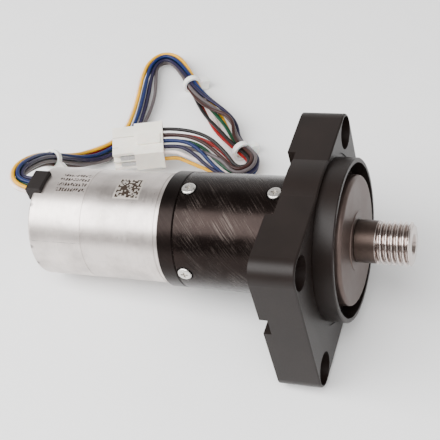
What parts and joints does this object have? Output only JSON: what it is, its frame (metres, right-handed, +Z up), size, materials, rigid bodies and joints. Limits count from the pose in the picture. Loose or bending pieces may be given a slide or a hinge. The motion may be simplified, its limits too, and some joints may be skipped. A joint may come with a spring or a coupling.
{
  "type": "planetary gearmotor with threaded output shaft",
  "caption": "Cylindrical gearmotor with a rectangular four-hole mounting flange, round pilot, threaded output shaft and a tied wiring harness ending in a white connector.",
  "frame": {"origin": "on the shaft axis, in the plane of the mounting flange's front face", "axes": "+X along the output shaft, away from the motor; +Z up, towards the wire grommet; +Y across, the harness lies on the +Y side"},
  "size_m": [0.1622, 0.1709, 0.0673],
  "materials": {
    "motor_steel": "satin",
    "cap_steel": "satin",
    "black_steel": "satin",
    "black_flange": "satin",
    "screw_steel": "satin",
    "black_rubber": "matte",
    "cast_aluminium": "satin",
    "spring_steel": "satin",
    "shaft_steel": "machined",
    "hub_bronze_grey": "satin",
    "lamination_steel": "satin",
    "winding_copper": "enamelled copper wire",
    "magnet_black": "nickel plated",
    "gear_steel": "ground",
    "board_green": "satin",
    "sensor_black": "matte",
    "tie_nylon": "satin",
    "connector_nylon": "satin",
    "terminal_tin": "tin plated",
    "bearing_steel": "ground",
    "insulation_yellow": "satin PVC insulation",
    "insulation_white": "satin PVC insulation",
    "insulation_purple": "satin PVC insulation",
    "insulation_blue": "satin PVC insulation",
    "insulation_brown": "satin PVC insulation",
    "insulation_grey": "satin PVC insulation",
    "insulation_red": "satin PVC insulation",
    "insulation_black": "satin PVC insulation",
    "insulation_green": "satin PVC insulation"
  },
  "bodies": {
    "housing": {"gearbox_housing": "black_steel", "gearbox_adapter": "black_steel", "gearbox_front_screws": "screw_steel", "gearbox_rear_screws": "screw_steel", "motor_mount_screws": "screw_steel", "mounting_flange": "black_flange", "output_front_bearing_outer_ring": "bearing_steel", "output_front_bearing_balls": "bearing_steel", "output_rear_bearing_outer_ring": "bearing_steel", "output_rear_bearing_balls": "bearing_steel", "shaft_seal": "black_rubber", "retaining_ring": "spring_steel", "motor_can": "motor_steel", "rear_end_cap": "cap_steel", "wire_grommet": "black_rubber", "front_bell": "cast_aluminium", "motor_front_bearing_outer_ring": "bearing_steel", "motor_front_bearing_balls": "bearing_steel", "motor_rear_bearing_outer_ring": "bearing_steel", "motor_rear_bearing_balls": "bearing_steel", "stator_core": "lamination_steel", "stator_windings": "winding_copper", "hall_sensor_board": "board_green", "hall_sensors": "sensor_black", "cable_tie_motor": "tie_nylon", "cable_tie_loop": "tie_nylon", "cable_tie_fold": "tie_nylon", "connector_housing": "connector_nylon", "connector_terminals": "terminal_tin", "wire_yellow": "insulation_yellow", "wire_white": "insulation_white", "wire_purple": "insulation_purple", "wire_blue": "insulation_blue", "wire_brown": "insulation_brown", "wire_grey": "insulation_grey", "wire_red": "insulation_red", "wire_black": "insulation_black", "wire_green": "insulation_green"},
    "rotor": {"rotor_shaft": "gear_steel", "rotor_core": "lamination_steel", "rotor_magnets": "magnet_black", "motor_pinion": "gear_steel", "motor_front_bearing_inner_ring": "bearing_steel", "motor_rear_bearing_inner_ring": "bearing_steel"},
    "carrier_1": {"stage1_carrier": "gear_steel", "stage1_planet_pins": "gear_steel", "stage2_sun": "gear_steel"},
    "output": {"stage2_carrier": "gear_steel", "stage2_planet_pins": "gear_steel", "output_shaft": "shaft_steel", "output_hub": "hub_bronze_grey", "output_front_bearing_inner_ring": "bearing_steel", "output_rear_bearing_inner_ring": "bearing_steel", "bearing_spacer": "gear_steel"},
    "planet_1_1": {"stage1_planet_1": "gear_steel"},
    "planet_2_1": {"stage2_planet_1": "gear_steel"},
    "planet_1_2": {"stage1_planet_2": "gear_steel"},
    "planet_2_2": {"stage2_planet_2": "gear_steel"},
    "planet_1_3": {"stage1_planet_3": "gear_steel"},
    "planet_2_3": {"stage2_planet_3": "gear_steel"}
  },
  "joints": [
    {"name": "output_spin", "type": "hinge", "parent": "housing", "child": "output", "pos_m": [0, 0, 0], "axis": [1, 0, 0], "continuous": true},
    {"name": "carrier_1_spin", "type": "hinge", "parent": "housing", "child": "carrier_1", "pos_m": [-0.04, 0, 0], "axis": [1, 0, 0], "continuous": true},
    {"name": "rotor_spin", "type": "hinge", "parent": "housing", "child": "rotor", "pos_m": [-0.09, 0, 0], "axis": [1, 0, 0], "continuous": true},
    {"name": "planet_2_1_spin", "type": "hinge", "parent": "output", "child": "planet_2_1", "pos_m": [-0.03, 0.012, 0], "axis": [1, 0, 0], "continuous": true},
    {"name": "planet_2_2_spin", "type": "hinge", "parent": "output", "child": "planet_2_2", "pos_m": [-0.03, -0.006, 0.01039], "axis": [1, 0, 0], "continuous": true},
    {"name": "planet_2_3_spin", "type": "hinge", "parent": "output", "child": "planet_2_3", "pos_m": [-0.03, -0.006, -0.01039], "axis": [1, 0, 0], "continuous": true},
    {"name": "planet_1_1_spin", "type": "hinge", "parent": "carrier_1", "child": "planet_1_1", "pos_m": [-0.047, 0.012, 0], "axis": [1, 0, 0], "continuous": true},
    {"name": "planet_1_2_spin", "type": "hinge", "parent": "carrier_1", "child": "planet_1_2", "pos_m": [-0.047, -0.006, 0.01039], "axis": [1, 0, 0], "continuous": true},
    {"name": "planet_1_3_spin", "type": "hinge", "parent": "carrier_1", "child": "planet_1_3", "pos_m": [-0.047, -0.006, -0.01039], "axis": [1, 0, 0], "continuous": true}
  ],
  "couplings": [
    {"joint": "carrier_1_spin", "follows": "output_spin", "ratio": 4},
    {"joint": "rotor_spin", "follows": "output_spin", "ratio": 16},
    {"joint": "planet_2_1_spin", "follows": "output_spin", "ratio": -3},
    {"joint": "planet_1_1_spin", "follows": "output_spin", "ratio": -12},
    {"joint": "planet_2_2_spin", "follows": "output_spin", "ratio": -3},
    {"joint": "planet_1_2_spin", "follows": "output_spin", "ratio": -12},
    {"joint": "planet_2_3_spin", "follows": "output_spin", "ratio": -3},
    {"joint": "planet_1_3_spin", "follows": "output_spin", "ratio": -12}
  ]
}
